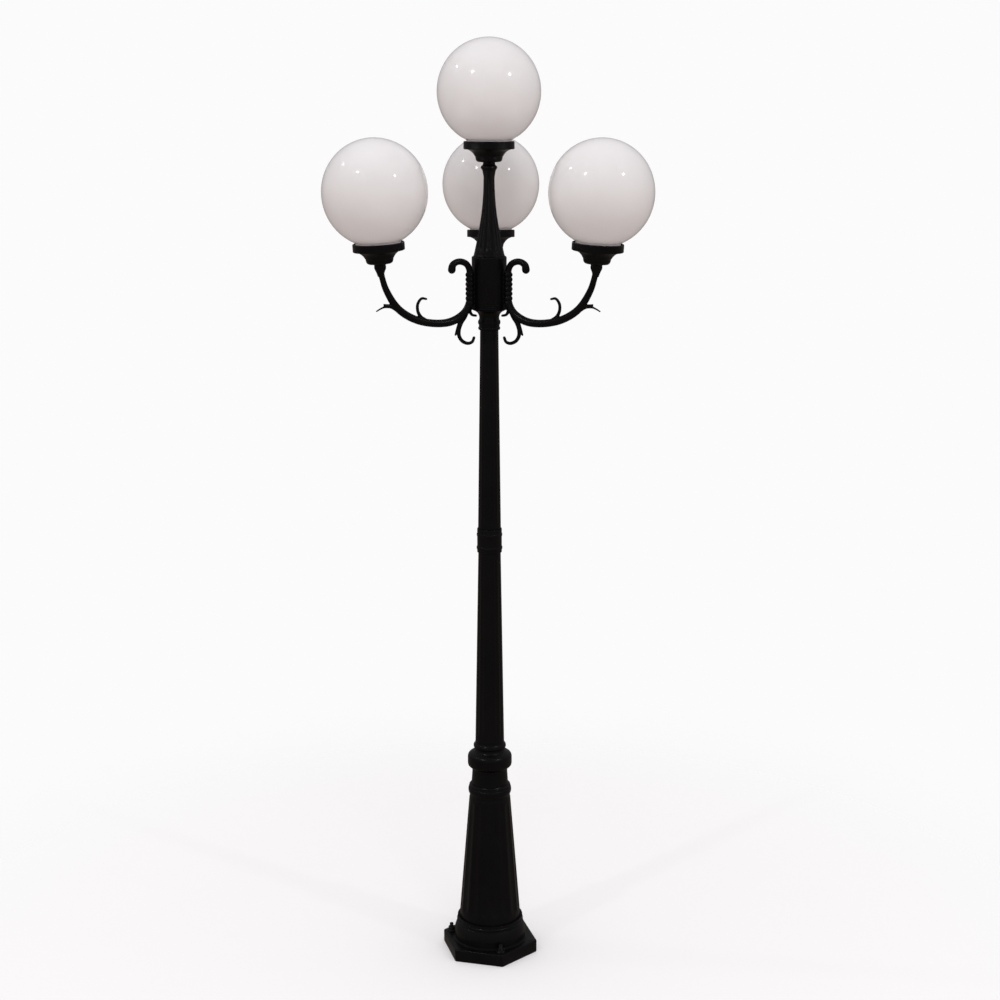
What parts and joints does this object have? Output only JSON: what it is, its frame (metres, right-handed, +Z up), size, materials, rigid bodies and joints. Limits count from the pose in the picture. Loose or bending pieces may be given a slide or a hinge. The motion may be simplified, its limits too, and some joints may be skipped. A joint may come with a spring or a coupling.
{
  "type": "street lamp post",
  "caption": "Black cast lamp post with a six-sided foot, a tapering ringed post, scrolled arms and white opal globes on the arms and on the top stem.",
  "frame": {"origin": "on the ground, on the post's axis, at the centre of the foot's underside", "axes": "+Z up along the post; +Y towards the third arm; the other two arms are at -30 and 210 degrees from +X"},
  "size_m": [0.9364, 0.8512, 2.8075],
  "materials": {
    "black_castings": "black satin powder coat",
    "opal_globes": "glossy opal acrylic",
    "rubber_seals": "matte black",
    "zinc_steel": "zinc plated",
    "white_ceramic": "glazed",
    "frosted_lamps": "frosted white",
    "cable_sheath": "matte",
    "terminal_plastic": "moulded"
  },
  "bodies": {
    "post": {"base_casting": "black_castings", "neck_collar": "black_castings", "lower_shaft": "black_castings", "shaft_coupling": "black_castings", "upper_shaft": "black_castings", "head_collar": "black_castings", "hub": "black_castings", "top_stem": "black_castings", "arm_1": "black_castings", "arm_2": "black_castings", "arm_3": "black_castings", "fitter_1": "black_castings", "fitter_2": "black_castings", "fitter_3": "black_castings", "fitter_4": "black_castings", "globe_gasket_1": "rubber_seals", "globe_gasket_2": "rubber_seals", "globe_gasket_3": "rubber_seals", "globe_gasket_4": "rubber_seals", "anchor_bolt_1": "zinc_steel", "anchor_bolt_2": "zinc_steel", "anchor_bolt_3": "zinc_steel", "anchor_nut_1": "zinc_steel", "anchor_nut_2": "zinc_steel", "anchor_nut_3": "zinc_steel", "nipple_1": "zinc_steel", "nipple_2": "zinc_steel", "nipple_3": "zinc_steel", "nipple_4": "zinc_steel", "lock_nut_1": "zinc_steel", "lock_nut_2": "zinc_steel", "lock_nut_3": "zinc_steel", "lock_nut_4": "zinc_steel", "arm_screw_1_a": "zinc_steel", "arm_screw_1_b": "zinc_steel", "arm_screw_2_a": "zinc_steel", "arm_screw_2_b": "zinc_steel", "arm_screw_3_a": "zinc_steel", "arm_screw_3_b": "zinc_steel", "gear_bracket": "zinc_steel", "bracket_screw": "zinc_steel", "lampholder_1": "white_ceramic", "lampholder_2": "white_ceramic", "lampholder_3": "white_ceramic", "lampholder_4": "white_ceramic", "post_cable": "cable_sheath", "lead_1": "cable_sheath", "lead_2": "cable_sheath", "lead_3": "cable_sheath", "lead_4": "cable_sheath", "terminal_block": "terminal_plastic", "hub_connector": "terminal_plastic"},
    "globe_1": {"globe_1": "opal_globes"},
    "lamp_1": {"lamp_1": "frosted_lamps"},
    "globe_2": {"globe_2": "opal_globes"},
    "lamp_2": {"lamp_2": "frosted_lamps"},
    "globe_3": {"globe_3": "opal_globes"},
    "lamp_3": {"lamp_3": "frosted_lamps"},
    "globe_4": {"globe_4": "opal_globes"},
    "lamp_4": {"lamp_4": "frosted_lamps"}
  },
  "joints": [
    {"name": "globe_1_lift", "type": "slide", "parent": "post", "child": "globe_1", "axis": [0.0574, -0.0331, 0.9978], "range_m": [0, 0.2]},
    {"name": "lamp_1_unscrew", "type": "hinge", "parent": "post", "child": "lamp_1", "pos_m": [0.30896, -0.17838, 2.21093], "axis": [0.0574, -0.0331, 0.9978], "range_deg": [0, 1080]},
    {"name": "globe_2_lift", "type": "slide", "parent": "post", "child": "globe_2", "axis": [-0.0574, -0.0331, 0.9978], "range_m": [0, 0.2]},
    {"name": "lamp_2_unscrew", "type": "hinge", "parent": "post", "child": "lamp_2", "pos_m": [-0.30896, -0.17838, 2.21093], "axis": [-0.0574, -0.0331, 0.9978], "range_deg": [0, 1080]},
    {"name": "globe_3_lift", "type": "slide", "parent": "post", "child": "globe_3", "axis": [0, 0.0663, 0.9978], "range_m": [0, 0.2]},
    {"name": "lamp_3_unscrew", "type": "hinge", "parent": "post", "child": "lamp_3", "pos_m": [0, 0.35675, 2.21093], "axis": [0, 0.0663, 0.9978], "range_deg": [0, 1080]},
    {"name": "globe_4_lift", "type": "slide", "parent": "post", "child": "globe_4", "axis": [0, 0, 1], "range_m": [0, 0.2]},
    {"name": "lamp_4_unscrew", "type": "hinge", "parent": "post", "child": "lamp_4", "pos_m": [0, 0, 2.489], "axis": [0, 0, 1], "range_deg": [0, 1080]}
  ]
}
